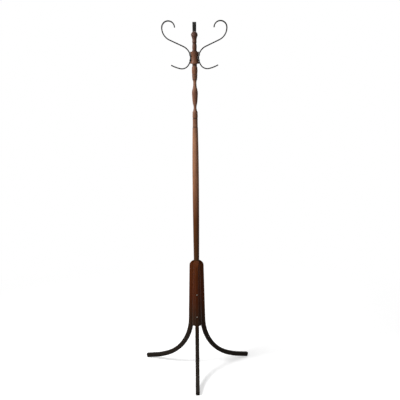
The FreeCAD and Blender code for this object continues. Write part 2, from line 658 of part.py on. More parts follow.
def hook(place, angle):
    body = new_body("hook_" + place)
    strap = ("Levels.strap_offset", "Sizes.strap_thickness", "Sizes.strap_width", None)
    arm_runs = [("root", -1, "arm_root_radius", "arm_root_turn"),
                ("arm", "arm_length"),
                ("rise", 1, "scroll_rise_radius", "scroll_rise_turn"),
                ("scroll", 1, "scroll_radius", "scroll_turn")]
    peg_runs = [("root", 1, "peg_root_radius", "peg_root_turn"),
                ("bend", 1, "peg_bend_radius", "peg_bend_turn"),
                ("peg", 1, "peg_radius", "peg_turn")]
    for name, heading, runs in (("arm", 90, arm_runs), ("peg", -90, peg_runs)):
        section = new_sketch(body, name + "_section", "XY_Plane")
        draw_bar(section, *strap)
        path = new_sketch(body, name + "_path", "XZ_Plane")
        start = FreeCAD.Vector(levels.strap_offset, 0, 0)
        ends = walk(path, start, heading, runs)
        edge, near, far = ends[0]
        path.addConstraint(Sketcher.Constraint("PointOnObject", edge, near, -1))
        path.addConstraint(Sketcher.Constraint("PointOnObject", edge, 3, -1))
        offset = Sketcher.Constraint("DistanceX", -1, 1, edge, near, start.x)
        bind(path, offset, "offset", "Levels.strap_offset")
        pipe = sweep(body, name, section, path)
    doc.recompute()
    round_tips(body, pipe)
    for name, radius, sign in hook_screws:
        sketch, hole = cut_round(body, name + "_fixing", "YZ_Plane", [None],
                                 "Sizes.hook_screw_shank_diameter + 2 * Sizes.fit_gap",
                                 "2 * Sizes.strap_thickness", True)
        lay_on_strap(sketch, name, radius, sign, "Sizes.strap_thickness", "")
    body.Placement.Rotation = FreeCAD.Rotation(angle, 0, 0)
    body.setExpression("Placement.Base.z", "Levels.hook_height")
    return body


def round_tips(body, strap):
    # The four upright corners at the two ends of a strap
    corners = []
    for index, edge in enumerate(strap.Shape.Edges, 1):
        if abs(edge.Length - size("strap_thickness")) < 0.01:
            corners.append("Edge%d" % index)
    fillet = body.newObject("PartDesign::Fillet", body.Name + "_tips")
    fillet.Base = (strap, corners)
    fillet.setExpression("Radius", "Sizes.strap_tip_round")


def screw(label, kind):
    steps = turned_sizes[kind]
    body = turned_piece(label, steps)
    # The slot across the head
    sketch = new_sketch(body, "slot", "XY_Plane")
    half = size(kind + "_slot_width") / 2
    reach = size(kind + "_edge_diameter")
    corners = [(half, -reach), (half, reach), (-half, reach), (-half, -reach)]
    corners = [FreeCAD.Vector(across, along, 0) for across, along in corners]
    edges = [sketch.addGeometry(Part.LineSegment(corners[i - 1], corners[i])) for i in range(4)]
    for index in range(4):
        sketch.addConstraint(Sketcher.Constraint("Coincident", edges[index - 1], 2, edges[index], 1))
    for index in range(4):
        kind_of_line = "Horizontal" if index % 2 == 0 else "Vertical"
        sketch.addConstraint(Sketcher.Constraint(kind_of_line, edges[index]))
    sketch.addConstraint(Sketcher.Constraint("Symmetric", edges[0], 2, edges[2], 2, -1, 1))
    width = Sketcher.Constraint("DistanceX", -1, 1, edges[1], 2, half)
    bind(sketch, width, "width", "Sizes.%s_slot_width / 2" % kind)
    length = Sketcher.Constraint("DistanceY", -1, 1, edges[1], 2, reach)
    bind(sketch, length, "length", "Sizes.%s_edge_diameter" % kind)
    sketch.setExpression("AttachmentOffset.Base.z", length_sum(steps))
    slot = body.newObject("PartDesign::Pocket", body.Name + "_slot_cut")
    slot.Profile = sketch
    slot.setExpression("Length", "Sizes.%s_slot_depth" % kind)
    sketch.Visibility = False
    return body


def leg_screws(side, angle):
    pieces = []
    for name, height in zip(("low", "high"), leg_screw_heights):
        body = screw("leg_%s_%s_screw" % (side, name), "leg_screw")
        body.Placement.Rotation = FreeCAD.Rotation(angle, 90, 0)
        body.setExpression("Placement.Base.x", "(%s) * cos(%d)" % (leg_screw_tip(height), angle))
        body.setExpression("Placement.Base.y", "(%s) * sin(%d)" % (leg_screw_tip(height), angle))
        body.setExpression("Placement.Base.z", "Levels.bend_height + " + height)
        pieces.append(body)
    return pieces


def hook_screw_pair(place, angle):
    pieces = []
    for name, radius, sign in hook_screws:
        body = screw("hook_%s_%s_screw" % (place, name), "hook_screw")
        tilt = "Levels.%s_hook_screw_tilt" % name
        reach = "(Sizes.%s - Sizes.strap_thickness / 2 + Sizes.hook_screw_point_length" % radius
        reach += " + Sizes.hook_screw_shank_length)"
        across = "(Levels.strap_offset + Sizes.%s - %s * cos(%s))" % (radius, reach, tilt)
        turn = sign * getattr(levels, name + "_hook_screw_tilt")
        body.Placement.Rotation = FreeCAD.Rotation(angle, 90 + turn, 0)
        body.setExpression("Placement.Base.x", "%s * cos(%d)" % (across, angle))
        body.setExpression("Placement.Base.y", "%s * sin(%d)" % (across, angle))
        body.setExpression("Placement.Base.z", "Levels.hook_height + %d * %s * sin(%s)" % (sign, reach, tilt))
        pieces.append(body)
    return pieces


def main():
    fill_sheet()
    set_levels()
    pieces = [base_block()]
    pieces += pole()
    for side, angle in leg_angles.items():
        pieces.append(leg(side, angle))
        pieces += leg_screws(side, angle)
    for place, angle in hook_angles.items():
        pieces.append(hook(place, angle))
        pieces += hook_screw_pair(place, angle)
    doc.recompute()
    write(pieces)


def write(pieces):
    faults = []
    for thing in doc.Objects:
        if "Invalid" in thing.State or "Error" in thing.State:
            faults.append("%s %s" % (thing.Name, thing.State))
    for piece in pieces:
        if piece.Shape.isNull() or not piece.Shape.isValid():
            faults.append(piece.Label + " has no valid shape")
    if faults:
        raise RuntimeError("; ".join(faults))
    os.makedirs("parts", exist_ok=True)
    for piece in pieces:
        piece.Shape.exportStep("parts/%s.step" % piece.Label)
        box = piece.Shape.optimalBoundingBox()
        print("%-27s %d solid, %8.1f mm3, z %.2f to %.2f" % (
            piece.Label, len(piece.Shape.Solids), piece.Shape.Volume, box.ZMin, box.ZMax))


main()
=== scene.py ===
import bpy, bmesh, math, random
from mathutils import Matrix, Vector


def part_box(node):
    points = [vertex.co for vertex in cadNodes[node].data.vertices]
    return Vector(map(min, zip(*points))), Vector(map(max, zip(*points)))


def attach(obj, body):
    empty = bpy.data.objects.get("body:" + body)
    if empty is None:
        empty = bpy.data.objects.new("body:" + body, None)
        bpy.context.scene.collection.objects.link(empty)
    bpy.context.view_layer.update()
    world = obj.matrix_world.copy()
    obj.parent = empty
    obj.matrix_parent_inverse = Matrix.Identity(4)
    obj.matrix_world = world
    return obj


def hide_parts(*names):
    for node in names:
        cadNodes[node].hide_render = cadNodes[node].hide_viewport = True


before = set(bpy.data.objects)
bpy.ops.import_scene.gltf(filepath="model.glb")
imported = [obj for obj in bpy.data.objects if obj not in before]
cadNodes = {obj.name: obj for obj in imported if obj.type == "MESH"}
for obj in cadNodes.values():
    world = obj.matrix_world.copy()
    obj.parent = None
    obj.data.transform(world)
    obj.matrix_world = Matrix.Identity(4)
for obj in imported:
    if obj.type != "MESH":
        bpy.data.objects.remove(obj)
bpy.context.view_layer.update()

sceneColl = bpy.context.scene.collection
print("frame loaded:", len(cadNodes), "nodes")

legAngles = {"front": 270, "right": 30, "left": 150}
hookAngles = {"right": 0, "back": 90, "left": 180}


# small helpers for node trees

def addNode(tree, kind, **values):
    made = tree.nodes.new(kind)
    for name, value in values.items():
        setattr(made, name, value)
    return made


def feed(tree, node, socket, value):
    # a socket takes a link from another socket or a plain value
    if isinstance(value, bpy.types.NodeSocket):
        tree.links.new(value, node.inputs[socket])
    else:
        node.inputs[socket].default_value = value


def mathNode(tree, operation, first, second=0.0):
    made = addNode(tree, "ShaderNodeMath", operation=operation)
    feed(tree, made, 0, first)
    feed(tree, made, 1, second)
    return made.outputs[0]


def vectorNode(tree, operation, first, second):
    made = addNode(tree, "ShaderNodeVectorMath", operation=operation)
    feed(tree, made, 0, first)
    feed(tree, made, 1, second)
    return made.outputs[0]


def rangeNode(tree, value, low, high, toLow=0.0, toHigh=1.0):
    made = addNode(tree, "ShaderNodeMapRange", clamp=True)
    for socket, number in enumerate((value, low, high, toLow, toHigh)):
        feed(tree, made, socket, number)
    return made.outputs[0]


def mixColour(tree, amount, first, second, blend="MIX"):
    made = addNode(tree, "ShaderNodeMix", data_type="RGBA", blend_type=blend)
    feed(tree, made, 0, amount)
    feed(tree, made, 6, first)
    feed(tree, made, 7, second)
    return made.outputs[2]


def noiseNode(tree, place, scale, detail, roughness=0.55):
    made = addNode(tree, "ShaderNodeTexNoise")
    feed(tree, made, "Vector", place)
    feed(tree, made, "Scale", scale)
    feed(tree, made, "Detail", detail)
    feed(tree, made, "Roughness", roughness)
    return made.outputs["Fac"]


def newGroup(name, inputs, outputs, kind="ShaderNodeTree"):
    tree = bpy.data.node_groups.new(name, kind)
    for way, sockets in (("INPUT", inputs), ("OUTPUT", outputs)):
        for label, socketKind in sockets:
            tree.interface.new_socket(label, in_out=way, socket_type=socketKind)
    return tree, addNode(tree, "NodeGroupInput").outputs, addNode(tree, "NodeGroupOutput")


def useGroup(tree, group, **values):
    made = addNode(tree, "ShaderNodeGroup", node_tree=group)
    for label, value in values.items():
        feed(tree, made, label, value)
    return made.outputs


# shared effects: sizes are noise scales, and an effect grows from none to full between the two values of a pair

grainSetup = {
    "wanderSize": 26.0, "wanderDetail": 2.0, "wanderReach": 0.012,
    "streakDetail": 5.0, "streakRoughness": 0.62, "streak": (0.32, 0.68),
    "poresToStreaks": 7.0, "poreDetail": 2.0, "poreRoughness": 0.5, "pore": (0.55, 0.75),
    "cloudSize": 5.0, "cloudDetail": 3.0,
}


def makeGrainGroup():
    # long streaks, fine pores and broad clouds, with the grain along Z of Place
    tree, given, out = newGroup(
        "woodGrain",
        [("Place", "NodeSocketVector"), ("StreakSize", "NodeSocketFloat"), ("Stretch", "NodeSocketFloat")],
        [("Streak", "NodeSocketFloat"), ("Pore", "NodeSocketFloat"), ("Cloud", "NodeSocketFloat")])
    split = addNode(tree, "ShaderNodeSeparateXYZ")
    feed(tree, split, 0, given["Place"])
    shortZ = mathNode(tree, "DIVIDE", split.outputs[2], given["Stretch"])
    drawn = addNode(tree, "ShaderNodeCombineXYZ")
    for index, value in enumerate((split.outputs[0], split.outputs[1], shortZ)):
        feed(tree, drawn, index, value)
    wander = noiseNode(tree, drawn.outputs[0], grainSetup["wanderSize"], grainSetup["wanderDetail"])
    strayed = mathNode(tree, "MULTIPLY", wander, grainSetup["wanderReach"])
    bent = vectorNode(tree, "ADD", drawn.outputs[0], strayed)
    streak = noiseNode(tree, bent, given["StreakSize"], grainSetup["streakDetail"], grainSetup["streakRoughness"])
    feed(tree, out, "Streak", rangeNode(tree, streak, *grainSetup["streak"]))
    poreSize = mathNode(tree, "MULTIPLY", given["StreakSize"], grainSetup["poresToStreaks"])
    pore = noiseNode(tree, bent, poreSize, grainSetup["poreDetail"], grainSetup["poreRoughness"])
    feed(tree, out, "Pore", rangeNode(tree, pore, *grainSetup["pore"]))
    cloud = noiseNode(tree, given["Place"], grainSetup["cloudSize"], grainSetup["cloudDetail"])
    feed(tree, out, "Cloud", cloud)
    return tree


# knee of a leg: out from the pole and up from the floor, and how far apart the legs lie in the pattern
bendSetup = {"centre": (0.2962, 0.2906), "radius": 0.26, "legsApart": 0.7}


def longSide(tree, first, second):
    squares = [mathNode(tree, "MULTIPLY", value, value) for value in (first, second)]
    return mathNode(tree, "SQRT", mathNode(tree, "ADD", *squares))


def makeBentGrainGroup():
    # turns Object coordinates into (outward, sideways, along) for the nearest of the three legs
    tree, given, out = newGroup("bentGrain", [("Place", "NodeSocketVector")], [("Along", "NodeSocketVector")])
    split = addNode(tree, "ShaderNodeSeparateXYZ")
    feed(tree, split, 0, given["Place"])
    x, y, z = split.outputs
    third = math.radians(360 / len(legAngles))
    # turned so that each leg is in the middle of a third
    azimuth = mathNode(tree, "ADD", mathNode(tree, "ARCTAN2", y, x), third / 4)
    count = mathNode(tree, "FLOOR", mathNode(tree, "DIVIDE", azimuth, third))
    within = mathNode(tree, "SUBTRACT", azimuth, mathNode(tree, "MULTIPLY", count, third))
    off = mathNode(tree, "SUBTRACT", within, third / 2)
    reach = longSide(tree, x, y)
    outward = mathNode(tree, "MULTIPLY", reach, mathNode(tree, "COSINE", off))
    side = mathNode(tree, "MULTIPLY", reach, mathNode(tree, "SINE", off))
    # from here on measured from the middle of the knee's bend
    kneeOut, kneeUp = bendSetup["centre"]
    inFront = mathNode(tree, "SUBTRACT", kneeOut, outward)
    below = mathNode(tree, "MAXIMUM", mathNode(tree, "SUBTRACT", kneeUp, z), 0.0)
    turned = mathNode(tree, "ARCTAN2", below, inFront)
    far = longSide(tree, inFront, below)
    above = mathNode(tree, "MAXIMUM", mathNode(tree, "SUBTRACT", z, kneeUp), 0.0)
    along = mathNode(tree, "SUBTRACT", above, mathNode(tree, "MULTIPLY", turned, bendSetup["radius"]))
    apart = mathNode(tree, "MULTIPLY", count, bendSetup["legsApart"])
    joined = addNode(tree, "ShaderNodeCombineXYZ")
    for index, value in enumerate((far, mathNode(tree, "ADD", side, apart), along)):
        feed(tree, joined, index, value)
    feed(tree, out, "Along", joined.outputs[0])
    return tree


rubSetup = {
    "patchDetail": 6.0, "patchRoughness": 0.7, "rub": (0.52, 0.72), "upward": (0.35, 1.0), "dust": (0.35, 0.65),
    "specksToPatches": 14.0, "speckDetail": 2.0, "speck": (0.6, 0.75),
}


def makeRubGroup():
    # worn and dull patches, dust lying on what faces up, and fine specks
    tree, given, out = newGroup(
        "rubAndDust",
        [("Place", "NodeSocketVector"), ("Size", "NodeSocketFloat")],
        [("Rub", "NodeSocketFloat"), ("Dust", "NodeSocketFloat"), ("Speck", "NodeSocketFloat")])
    patch = noiseNode(tree, given["Place"], given["Size"], rubSetup["patchDetail"], rubSetup["patchRoughness"])
    feed(tree, out, "Rub", rangeNode(tree, patch, *rubSetup["rub"]))
    facing = addNode(tree, "ShaderNodeSeparateXYZ")
    feed(tree, facing, 0, addNode(tree, "ShaderNodeNewGeometry").outputs["Normal"])
    upward = rangeNode(tree, facing.outputs[2], *rubSetup["upward"])
    feed(tree, out, "Dust", mathNode(tree, "MULTIPLY", upward, rangeNode(tree, patch, *rubSetup["dust"])))
    speckSize = mathNode(tree, "MULTIPLY", given["Size"], rubSetup["specksToPatches"])
    speck = noiseNode(tree, given["Place"], speckSize, rubSetup["speckDetail"])
    feed(tree, out, "Speck", rangeNode(tree, speck, *rubSetup["speck"]))
    return tree


grainGroup = makeGrainGroup()
bentGrainGroup = makeBentGrainGroup()
rubGroup = makeRubGroup()


def newMaterial(name, place="Object"):
    # place is "Object", or "Legs" for grain that follows the bent legs
    made = bpy.data.materials.new(name)
    made.use_nodes = True
    tree = made.node_tree
    tree.nodes.clear()
    shader = addNode(tree, "ShaderNodeBsdfPrincipled")
    feed(tree, addNode(tree, "ShaderNodeOutputMaterial"), 0, shader.outputs[0])
    where = addNode(tree, "ShaderNodeTexCoord").outputs["Object"]
    if place == "Legs":
        where = useGroup(tree, bentGrainGroup, Place=where)["Along"]
    return made, tree, shader, where


def bumpNode(tree, height, strength, distance):
    made = addNode(tree, "ShaderNodeBump")
    feed(tree, made, "Height", height)
    feed(tree, made, "Strength", strength)
    feed(tree, made, "Distance", distance)
    return made.outputs[0]


def heightOf(tree):
    split = addNode(tree, "ShaderNodeSeparateXYZ")
    feed(tree, split, 0, addNode(tree, "ShaderNodeTexCoord").outputs["Object"])
    return split.outputs[2]


# colours, the last of them painted shade for creases and grooves, then how the grain runs and the lacquer shines,
# then the painted light and shade at each height in metres
poleLook = {
    "pale": (0.345, 0.176, 0.102, 1), "deep": (0.200, 0.088, 0.046, 1), "pore": (0.060, 0.022, 0.010, 1),
    "paintedShade": (0.020, 0.008, 0.004, 1), "streakSize": 85.0, "stretch": 16.0, "roughness": 0.40, "sheen": 0.07,
    "coat": 0.02, "coatRoughness": 0.3,
    "paintedLightByHeight": [(0.62, (0.21, 0.17, 0.07)), (0.83, (0.33, 0.21, 0.09)), (1.03, (0.78, 0.70, 0.64)),
              (1.26, (1, 1, 1)), (1.36, (0.62, 0.60, 0.62)), (1.50, (0.50, 0.46, 0.50)),
              (1.56, (0.62, 0.60, 0.60)), (1.66, (0.48, 0.43, 0.43)), (1.80, (0.27, 0.29, 0.38))],
    # middle and half height of each turned groove that gets a line of painted shade
    "grooves": [(1.3266, 0.0040), (1.3716, 0.0040), (1.5666, 0.0032), (1.5756, 0.0032), (1.5846, 0.0032),
                (1.5936, 0.0032), (1.6400, 0.0070), (1.7110, 0.0060), (1.7486, 0.0050)],
}
legLook = {
    "pale": (0.118, 0.028, 0.007, 1), "deep": (0.070, 0.015, 0.003, 1), "pore": (0.018, 0.006, 0.002, 1),
    "paintedShade": (0.008, 0.002, 0.001, 1), "streakSize": 70.0, "stretch": 18.0, "roughness": 0.42, "sheen": 0.035,
    "coat": 0.0, "coatRoughness": 0.3,
    "paintedLightByHeight": [(0.05, (0.18, 0.60, 1.9)), (0.20, (0.20, 0.60, 1.8)), (0.30, (0.36, 0.60, 1.0)),
              (0.42, (0.74, 0.70, 0.75)), (0.62, (0.92, 1, 1))],
    "grooves": [],
}

# how strongly each effect shows on any wood; of four values, the last two are the amounts at the first two
woodSetup = {
    "rubSize": 24.0, "cloud": (0.35, 0.65, 0.0, 0.45), "pores": 0.5, "wear": 0.12,
    # the crease and groove values set how much painted shade darkens the wood
    "creaseReach": 0.012, "creaseSamples": 8, "crease": (0.45, 0.95, 0.75, 0.0),
    "grooveShade": 0.72, "grooveFloor": 0.2, "dust": 0.10, "dustColour": (0.20, 0.18, 0.16, 1),
    "rubDulls": 0.14, "streakDulls": 0.08, "streakRelief": 0.4, "bump": (0.12, 0.0004),
}


def paintLightByHeight(tree, steps):
    # painted light and shade: what is left of the wood's colour at each height in metres
    low, high = steps[0][0], steps[-1][0]
    ramp = addNode(tree, "ShaderNodeValToRGB")
    feed(tree, ramp, 0, rangeNode(tree, heightOf(tree), low, high))
    stops = ramp.color_ramp.elements
    for height, tint in steps[1:-1]:  # a new ramp has its two ends already
        stops.new((height - low) / (high - low)).color = (*tint, 1)
    stops[0].color, stops[-1].color = (*steps[0][1], 1), (*steps[-1][1], 1)
    return ramp.outputs[0]


def grooveLines(tree, grooves):
    # painted shade: one at the bottom of a turned groove, falling to none at its edges
    height, most = heightOf(tree), None
    for middle, half in grooves:
        off = mathNode(tree, "ABSOLUTE", mathNode(tree, "SUBTRACT", height, middle))
        line = rangeNode(tree, off, half * woodSetup["grooveFloor"], half, 1.0, 0.0)
        most = mathNode(tree, "MAXIMUM", most, line) if most else line
    return most


def lacqueredWood(name, look, place="Object"):
    made, tree, shader, where = newMaterial(name, place)
    grain = useGroup(tree, grainGroup, Place=where, StreakSize=look["streakSize"], Stretch=look["stretch"])
    rub = useGroup(tree, rubGroup, Place=where, Size=woodSetup["rubSize"])
    tone = mixColour(tree, grain["Streak"], look["deep"], look["pale"])
    tone = mixColour(tree, rangeNode(tree, grain["Cloud"], *woodSetup["cloud"]), tone, look["deep"])
    tone = mixColour(tree, mathNode(tree, "MULTIPLY", grain["Pore"], woodSetup["pores"]), tone, look["pore"])
    tone = mixColour(tree, mathNode(tree, "MULTIPLY", rub["Rub"], woodSetup["wear"]), tone, look["pale"])
    # painted light and shade by height: the pole lightest where the key lamp falls, darker below and at the top, the
    # legs darker and less red towards the floor
    tone = mixColour(tree, 1.0, tone, paintLightByHeight(tree, look["paintedLightByHeight"]), "MULTIPLY")
    # painted shade darkens the creases and the turned grooves
    crease = addNode(tree, "ShaderNodeAmbientOcclusion", samples=woodSetup["creaseSamples"], only_local=True)
    feed(tree, crease, "Distance", woodSetup["creaseReach"])
    tone = mixColour(tree, rangeNode(tree, crease.outputs["AO"], *woodSetup["crease"]), tone, look["paintedShade"])
    if look["grooves"]:
        paintedGrooveShade = mathNode(tree, "MULTIPLY", grooveLines(tree, look["grooves"]), woodSetup["grooveShade"])
        tone = mixColour(tree, paintedGrooveShade, tone, look["paintedShade"])
    dust = mathNode(tree, "MULTIPLY", rub["Dust"], woodSetup["dust"])
    feed(tree, shader, "Base Color", mixColour(tree, dust, tone, woodSetup["dustColour"]))
    rubbed = mathNode(tree, "MULTIPLY", rub["Rub"], woodSetup["rubDulls"])
    dull = mathNode(tree, "ADD", rubbed, mathNode(tree, "MULTIPLY", grain["Streak"], woodSetup["streakDulls"]))
    feed(tree, shader, "Roughness", mathNode(tree, "ADD", dull, look["roughness"] - woodSetup["streakDulls"]))
    feed(tree, shader, "Coat Weight", look["coat"])
    feed(tree, shader, "Coat Roughness", look["coatRoughness"])
    feed(tree, shader, "Specular IOR Level", look["sheen"])
    raised = mathNode(tree, "MULTIPLY", grain["Streak"], woodSetup["streakRelief"])
    relief = mathNode(tree, "SUBTRACT", raised, grain["Pore"])
    feed(tree, shader, "Normal", bumpNode(tree, relief, *woodSetup["bump"]))
    return made


ironLook = {
    "base": (0.014, 0.014, 0.013, 1), "rubbed": (0.050, 0.045, 0.040, 1), "dustColour": (0.16, 0.15, 0.14, 1),
    "roughness": 0.42, "sheen": 0.07, "rubSize": 55.0, "wear": 0.35, "dust": 0.08, "rubDulls": 0.18,
    "peelSize": 700.0, "peelDetail": 2.0, "bump": (0.06, 0.0003),
}


def paintedIron(name, look):
    made, tree, shader, where = newMaterial(name)
    rub = useGroup(tree, rubGroup, Place=where, Size=look["rubSize"])
    paint = mixColour(tree, mathNode(tree, "MULTIPLY", rub["Rub"], look["wear"]), look["base"], look["rubbed"])
    dust = mathNode(tree, "MULTIPLY", rub["Dust"], look["dust"])
    feed(tree, shader, "Base Color", mixColour(tree, dust, paint, look["dustColour"]))
    dull = mathNode(tree, "MULTIPLY", rub["Rub"], look["rubDulls"])
    feed(tree, shader, "Roughness", mathNode(tree, "ADD", dull, look["roughness"]))
    feed(tree, shader, "Specular IOR Level", look["sheen"])
    peel = noiseNode(tree, where, look["peelSize"], look["peelDetail"])  # the paint's fine orange peel
    feed(tree, shader, "Normal", bumpNode(tree, mathNode(tree, "ADD", peel, rub["Speck"]), *look["bump"]))
    return made


steelLook = {"base": (0.56, 0.50, 0.43, 1), "dull": (0.24, 0.19, 0.15, 1), "roughness": 0.38}
blackLook = {"base": (0.10, 0.09, 0.08, 1), "dull": (0.03, 0.027, 0.025, 1), "roughness": 0.42}
steelSetup = {
    "rubSize": 260.0, "rubDulls": 0.25, "metallic": 0.9,
    "markSize": 1600.0, "markDetail": 2.0, "bump": (0.10, 0.0002),
}


def dulledSteel(name, look):
    made, tree, shader, where = newMaterial(name)
    rub = useGroup(tree, rubGroup, Place=where, Size=steelSetup["rubSize"])
    feed(tree, shader, "Base Color", mixColour(tree, rub["Rub"], look["base"], look["dull"]))
    feed(tree, shader, "Metallic", steelSetup["metallic"])
    dull = mathNode(tree, "MULTIPLY", rub["Rub"], steelSetup["rubDulls"])
    feed(tree, shader, "Roughness", mathNode(tree, "ADD", dull, look["roughness"]))
    marks = noiseNode(tree, where, steelSetup["markSize"], steelSetup["markDetail"])
    feed(tree, shader, "Normal", bumpNode(tree, marks, *steelSetup["bump"]))
    return made


poleWood = lacqueredWood("poleWood", poleLook)
legWood = lacqueredWood("legWood", legLook, "Legs")
hookIron = paintedIron("hookIron", ironLook)
screwSteel = dulledSteel("screwSteel", steelLook)
blackSteel = dulledSteel("blackSteel", blackLook)
print("materials made")


# the wood is dressed as it comes from CAD; the hooks and screws are replaced further down
poleNodes = ["lower_shaft", "turned_spindle", "hook_hub", "finial"]
legNodes = ["base_block"] + ["leg_" + side for side in legAngles]
for nodes, material in ((poleNodes, poleWood), (legNodes, legWood)):
    for node in nodes:
        cadNodes[node].data.materials.clear()
        cadNodes[node].data.materials.append(material)
print("solids dressed")


# pieces that Geometry Nodes make

sharpAngle = math.radians(40)  # edges that turn further stay crisp


def outwardAt(angle):
    return Vector((math.cos(math.radians(angle)), math.sin(math.radians(angle)), 0))


def newNodeTree(name, inputs):
    shape = [("Geometry", "NodeSocketGeometry")]
    return newGroup(name, shape + inputs, shape, "GeometryNodeTree")


def endTree(tree, out, shape, material):
    # every tree ends the same way, because the export drops instances
    whole = addNode(tree, "GeometryNodeRealizeInstances")
    feed(tree, whole, "Geometry", shape)
    painted = addNode(tree, "GeometryNodeSetMaterial")
    feed(tree, painted, "Geometry", whole.outputs[0])
    feed(tree, painted, "Material", material)
    feed(tree, out, "Geometry", painted.outputs[0])


def growPiece(name, seed, tree, values):
    # runs a tree on a seed mesh and keeps the result as a plain mesh at the origin
    piece = bpy.data.objects.new(name, seed)
    sceneColl.objects.link(piece)
    modifier = piece.modifiers.new("grow", "NODES")
    modifier.node_group = tree
    for item in tree.interface.items_tree:
        if item.in_out == "INPUT" and item.name in values:
            modifier[item.identifier] = values[item.name]
    seen = piece.evaluated_get(bpy.context.evaluated_depsgraph_get())
    grown = bpy.data.meshes.new_from_object(seen)
    piece.modifiers.remove(modifier)
    piece.data = grown
    grown.name = name
    grown.set_sharp_from_angle(angle=sharpAngle)
    bpy.data.meshes.remove(seed)
    return piece


strapSetup = {
    "offset": 0.0207, "width": 0.020, "thickness": 0.006, "edgeRound": 0.0010, "tipRound": 0.006,
    # radius (below zero turns right, zero runs straight) and turn in degrees or length in metres
    "arm": [(-0.062, 65), (0, 0.076), (0.066, 68), (0.032, 178)],
    "peg": [(0.067, 34), (0.039, 69), (0.177, 16)],
    "step": 0.0025, "tipSteps": 8, "edgeSteps": 4,
    "screwRises": (-0.012, 0.014),  # low and high, from the middle of the hub
}


def pathPoint(place, heading, radius, gone):
    if not radius:
        return place + gone * Vector((math.cos(heading), math.sin(heading)))
    after = heading + gone / radius
    centre = place + radius * Vector((-math.sin(heading), math.cos(heading)))
    return centre + radius * Vector((math.sin(after), -math.cos(after)))


def walkStrap(heading, runs):
    # from the strap's seat on the hub to one of its tips
    place, heading, points = Vector((strapSetup["offset"], 0)), math.radians(heading), []
    for index, (radius, amount) in enumerate(runs):
        length = abs(radius) * math.radians(amount) if radius else amount
        count = math.ceil(length / strapSetup["step"])
        marks = [length * number / count for number in range(1, count + 1)]
        if index == len(runs) - 1:
            tip, steps = strapSetup["tipRound"], strapSetup["tipSteps"]
            marks = [mark for mark in marks if mark < length - tip]
            turns = [math.pi / 2 * number / steps for number in range(steps, -1, -1)]
            marks += [length - tip * (1 - math.cos(turn)) for turn in turns]
        points += [pathPoint(place, heading, radius, mark) for mark in marks]
        place, heading = points[-1], heading + (length / radius if radius else 0)
    return points


def strapSeed(name):
    arm = walkStrap(90, strapSetup["arm"])
    peg = walkStrap(-90, strapSetup["peg"])
    line = arm[::-1] + [Vector((strapSetup["offset"], 0))] + peg
    seed = bpy.data.meshes.new(name + "Path")
    seed.from_pydata([(point.x, 0, point.y) for point in line], [(i, i + 1) for i in range(len(line) - 1)], [])
    return seed


def makeStrapTree():
    tree, given, out = newNodeTree("strapHook", [
        ("Width", "NodeSocketFloat"), ("Thickness", "NodeSocketFloat"), ("EdgeRound", "NodeSocketFloat"),
        ("TipRound", "NodeSocketFloat"), ("Height", "NodeSocketFloat"), ("Turn", "NodeSocketFloat"),
        ("Material", "NodeSocketMaterial")])
    path = addNode(tree, "GeometryNodeMeshToCurve")
    feed(tree, path, "Mesh", given["Geometry"])
    level = addNode(tree, "GeometryNodeSetCurveNormal", mode="FREE")
    feed(tree, level, "Curve", path.outputs[0])
    feed(tree, level, "Normal", (0, 1, 0))
    # both tips get rounded corners: near an end the strap narrows along a quarter circle
    gone = addNode(tree, "GeometryNodeSplineParameter").outputs["Length"]
    total = addNode(tree, "GeometryNodeSplineLength").outputs["Length"]
    toTip = mathNode(tree, "MINIMUM", gone, mathNode(tree, "SUBTRACT", total, gone))
    short = mathNode(tree, "MAXIMUM", mathNode(tree, "SUBTRACT", given["TipRound"], toTip), 0.0)
    tipSquare = mathNode(tree, "MULTIPLY", given["TipRound"], given["TipRound"])
    arc = mathNode(tree, "SUBTRACT", tipSquare, mathNode(tree, "MULTIPLY", short, short))
    arc = mathNode(tree, "SQRT", mathNode(tree, "MAXIMUM", arc, 0.0))
    half = mathNode(tree, "MULTIPLY", given["Width"], 0.5)
    wide = mathNode(tree, "ADD", mathNode(tree, "SUBTRACT", half, given["TipRound"]), arc)
    noted = addNode(tree, "GeometryNodeStoreNamedAttribute", data_type="FLOAT", domain="POINT")
    feed(tree, noted, "Geometry", level.outputs[0])
    feed(tree, noted, "Name", "narrow")
    feed(tree, noted, "Value", mathNode(tree, "DIVIDE", wide, half))
    section = addNode(tree, "GeometryNodeCurvePrimitiveQuadrilateral")
    feed(tree, section, "Width", given["Width"])
    feed(tree, section, "Height", given["Thickness"])
    soft = addNode(tree, "GeometryNodeFilletCurve", mode="POLY")
    feed(tree, soft, "Curve", section.outputs[0])
    feed(tree, soft, "Count", strapSetup["edgeSteps"])
    feed(tree, soft, "Radius", given["EdgeRound"])
    bar = addNode(tree, "GeometryNodeCurveToMesh")
    feed(tree, bar, "Curve", noted.outputs[0])
    feed(tree, bar, "Profile Curve", soft.outputs[0])
    feed(tree, bar, "Fill Caps", True)
    narrow = addNode(tree, "GeometryNodeInputNamedAttribute", data_type="FLOAT")
    feed(tree, narrow, "Name", "narrow")
    scale = addNode(tree, "ShaderNodeCombineXYZ")
    for index, value in enumerate((1.0, narrow.outputs[0], 1.0)):
        feed(tree, scale, index, value)
    here = addNode(tree, "GeometryNodeInputPosition").outputs[0]
    tipped = addNode(tree, "GeometryNodeSetPosition")
    feed(tree, tipped, "Geometry", bar.outputs[0])
    feed(tree, tipped, "Position", vectorNode(tree, "MULTIPLY", here, scale.outputs[0]))
    lift = addNode(tree, "ShaderNodeCombineXYZ")
    feed(tree, lift, 2, given["Height"])
    spin = addNode(tree, "ShaderNodeCombineXYZ")
    feed(tree, spin, 2, given["Turn"])
    placed = addNode(tree, "GeometryNodeTransform")
    feed(tree, placed, "Geometry", tipped.outputs[0])
    feed(tree, placed, "Translation", lift.outputs[0])
    feed(tree, placed, "Rotation", spin.outputs[0])
    smooth = addNode(tree, "GeometryNodeSetShadeSmooth")
    feed(tree, smooth, "Geometry", placed.outputs[0])
    endTree(tree, out, smooth.outputs[0], given["Material"])
    return tree


